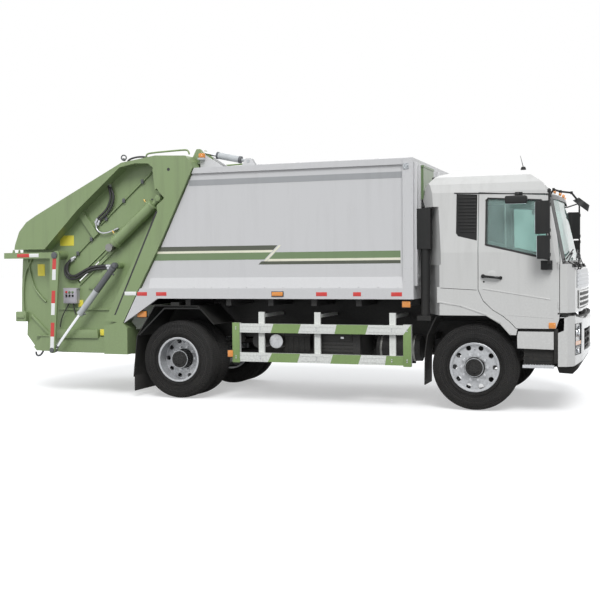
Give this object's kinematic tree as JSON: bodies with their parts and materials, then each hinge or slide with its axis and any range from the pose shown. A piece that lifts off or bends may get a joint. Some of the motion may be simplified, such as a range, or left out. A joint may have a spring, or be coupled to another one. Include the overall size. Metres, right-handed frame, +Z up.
{
  "type": "rear-loading garbage truck",
  "caption": "Cab-over truck with a closed refuse body and a rear-loading compaction tailgate that lifts to empty it.",
  "frame": {"origin": "middle of the overall length and width, on the ground under the tyres", "axes": "+X towards the front of the truck, +Y towards its left side, +Z up"},
  "size_m": [7.9155, 2.9, 3.328],
  "materials": {
    "chassis_black": "semi-gloss black paint",
    "axle_black": "satin black paint",
    "spring_steel": "satin black paint",
    "engine_grey": "painted casting",
    "black_plastic": "grained black plastic",
    "bare_aluminium": "brushed",
    "exhaust_dark": "heat-dulled steel",
    "guard_paint": "white paint with green blocks",
    "cab_white": "glossy white paint",
    "body_silver": "silver-grey paint",
    "stripe_green": "mid green paint",
    "tailgate_green": "sage green paint",
    "packer_steel": "worn green paint",
    "cylinder_grey": "dark grey paint",
    "rod_chrome": "hard chrome",
    "wheel_silver": "silver paint",
    "tyre_rubber": "rubber",
    "tinted_glass": "clear tinted glass",
    "lamp_glass": "clear lamp cover",
    "lamp_red": "red lens",
    "interior_trim": "dark grey trim",
    "box_grey": "grey paint"
  },
  "bodies": {
    "chassis": {"chassis_frame": "chassis_black", "subframe": "chassis_black", "front_axle": "axle_black", "rear_axle": "axle_black", "leaf_springs": "spring_steel", "engine_block": "engine_grey", "drive_shaft": "axle_black", "battery_box": "black_plastic", "fuel_tank": "bare_aluminium", "air_tanks": "bare_aluminium", "exhaust_silencer": "exhaust_dark", "side_guards": "guard_paint", "mudguards": "black_plastic", "front_bumper": "cab_white", "headlights": "lamp_glass", "cab_steps": "cab_white", "air_intake": "black_plastic", "body_shell": "body_silver", "hydraulic_tank": "stripe_green"},
    "knuckle_right": {"knuckle_right": "axle_black"},
    "knuckle_left": {"knuckle_left": "axle_black"},
    "tie_rod": {"tie_rod": "axle_black"},
    "wheel_front_right": {"wheel_front_right": "wheel_silver", "tyre_front_right": "tyre_rubber"},
    "wheel_front_left": {"wheel_front_left": "wheel_silver", "tyre_front_left": "tyre_rubber"},
    "wheel_rear_right": {"wheel_rear_right": "wheel_silver", "tyres_rear_right": "tyre_rubber"},
    "wheel_rear_left": {"wheel_rear_left": "wheel_silver", "tyres_rear_left": "tyre_rubber"},
    "cab": {"cab_shell": "cab_white", "windshield": "tinted_glass", "quarter_panels": "black_plastic", "cab_interior": "interior_trim", "front_mirror": "black_plastic"},
    "door_right": {"door_right": "cab_white", "door_glass_right": "tinted_glass", "mirrors_right": "black_plastic"},
    "door_left": {"door_left": "cab_white", "door_glass_left": "tinted_glass", "mirrors_left": "black_plastic"},
    "ejector_plate": {"ejector_plate": "packer_steel"},
    "tailgate": {"tailgate_shell": "tailgate_green", "tailgate_sides": "tailgate_green", "packing_barrels": "tailgate_green", "rear_lamps": "lamp_red", "control_box": "box_grey"},
    "packer_slide": {"packer_slide": "packer_steel"},
    "sweep_blade": {"sweep_blade": "packer_steel"},
    "sweep_barrels": {"sweep_barrels": "cylinder_grey"},
    "sweep_rods": {"sweep_rods": "rod_chrome"},
    "lift_frame": {"lift_frame": "tailgate_green"},
    "lift_barrels": {"lift_barrels": "cylinder_grey"},
    "lift_rods": {"lift_rods": "rod_chrome"},
    "roof_barrels": {"roof_barrels": "cylinder_grey"},
    "roof_rods": {"roof_rods": "rod_chrome"}
  },
  "joints": [
    {"name": "steer_right", "type": "hinge", "parent": "chassis", "child": "knuckle_right", "pos_m": [2.6625, -0.92, 0.522], "axis": [0, 0, 1], "range_deg": [-36, 36]},
    {"name": "steer_left", "type": "hinge", "parent": "chassis", "child": "knuckle_left", "pos_m": [2.6625, 0.92, 0.522], "axis": [0, 0, 1], "range_deg": [-36.5, 36.5]},
    {"name": "tie_rod_slide", "type": "slide", "parent": "chassis", "child": "tie_rod", "axis": [0, 1, 0], "range_m": [-0.096, 0.096]},
    {"name": "roll_front_right", "type": "hinge", "parent": "knuckle_right", "child": "wheel_front_right", "pos_m": [2.6625, -1.022, 0.522], "axis": [0, 1, 0], "continuous": true},
    {"name": "roll_front_left", "type": "hinge", "parent": "knuckle_left", "child": "wheel_front_left", "pos_m": [2.6625, 1.022, 0.522], "axis": [0, 1, 0], "continuous": true},
    {"name": "roll_rear_right", "type": "hinge", "parent": "chassis", "child": "wheel_rear_right", "pos_m": [-1.2875, -1.026, 0.522], "axis": [0, 1, 0], "continuous": true},
    {"name": "roll_rear_left", "type": "hinge", "parent": "chassis", "child": "wheel_rear_left", "pos_m": [-1.2875, 1.026, 0.522], "axis": [0, 1, 0], "continuous": true},
    {"name": "cab_tilt", "type": "hinge", "parent": "chassis", "child": "cab", "pos_m": [3.8125, 0, 0.98], "axis": [0, 1, 0], "range_deg": [0, 45]},
    {"name": "door_right_hinge", "type": "hinge", "parent": "cab", "child": "door_right", "pos_m": [3.6475, -1.24, 1.5], "axis": [0, 0, 1], "range_deg": [0, 70]},
    {"name": "door_left_hinge", "type": "hinge", "parent": "cab", "child": "door_left", "pos_m": [3.6475, 1.24, 1.5], "axis": [0, 0, -1], "range_deg": [0, 70]},
    {"name": "ejector_slide", "type": "slide", "parent": "chassis", "child": "ejector_plate", "axis": [-1, 0, 0], "range_m": [0, 2.75]},
    {"name": "tailgate_lift", "type": "hinge", "parent": "chassis", "child": "tailgate", "pos_m": [-0.9675, 0, 3.2], "axis": [0, 1, 0], "range_deg": [0, 75]},
    {"name": "packer_slide_travel", "type": "slide", "parent": "tailgate", "child": "packer_slide", "axis": [-0.766, 0, -0.6428], "range_m": [0, 0.69]},
    {"name": "sweep_blade_swing", "type": "hinge", "parent": "packer_slide", "child": "sweep_blade", "pos_m": [-2.1965, 0, 1.885], "axis": [0, 1, 0], "range_deg": [0, 85]},
    {"name": "sweep_barrel_swing", "type": "hinge", "parent": "packer_slide", "child": "sweep_barrels", "pos_m": [-1.6125, 0, 2.59695], "axis": [0, 1, 0], "range_deg": [0, 5.51]},
    {"name": "sweep_rod_slide", "type": "slide", "parent": "sweep_barrels", "child": "sweep_rods", "axis": [-0.7297, 0, -0.6837], "range_m": [-0.2923, 0]},
    {"name": "bin_lift_swing", "type": "hinge", "parent": "tailgate", "child": "lift_frame", "pos_m": [-3.1025, 0, 1.935], "axis": [0, 1, 0], "range_deg": [0, 60]},
    {"name": "lift_barrel_swing", "type": "hinge", "parent": "tailgate", "child": "lift_barrels", "pos_m": [-2.1925, 0, 1.785], "axis": [0, 1, 0], "range_deg": [0, 38.78]},
    {"name": "lift_rod_slide", "type": "slide", "parent": "lift_barrels", "child": "lift_rods", "axis": [-0.6433, 0, -0.7656], "range_m": [0, 0.6233]},
    {"name": "roof_barrel_swing", "type": "hinge", "parent": "chassis", "child": "roof_barrels", "pos_m": [-0.3275, 0, 3.138], "axis": [0, 1, 0], "range_deg": [0, 1.85]},
    {"name": "roof_rod_slide", "type": "slide", "parent": "roof_barrels", "child": "roof_rods", "axis": [-0.9765, 0, 0.2154], "range_m": [-0.1358, 0]}
  ],
  "couplings": [
    {"joint": "steer_left", "follows": "steer_right", "ratio": 1},
    {"joint": "tie_rod_slide", "follows": "steer_right", "m_per_rad": -0.15},
    {"joint": "sweep_barrel_swing", "follows": "sweep_blade_swing", "ratio": 0.061265},
    {"joint": "sweep_rod_slide", "follows": "sweep_blade_swing", "m_per_rad": -0.19185},
    {"joint": "lift_barrel_swing", "follows": "bin_lift_swing", "ratio": 0.63048},
    {"joint": "lift_rod_slide", "follows": "bin_lift_swing", "m_per_rad": 0.58171},
    {"joint": "roof_barrel_swing", "follows": "tailgate_lift", "ratio": 0.021637},
    {"joint": "roof_rod_slide", "follows": "tailgate_lift", "m_per_rad": -0.10019}
  ]
}
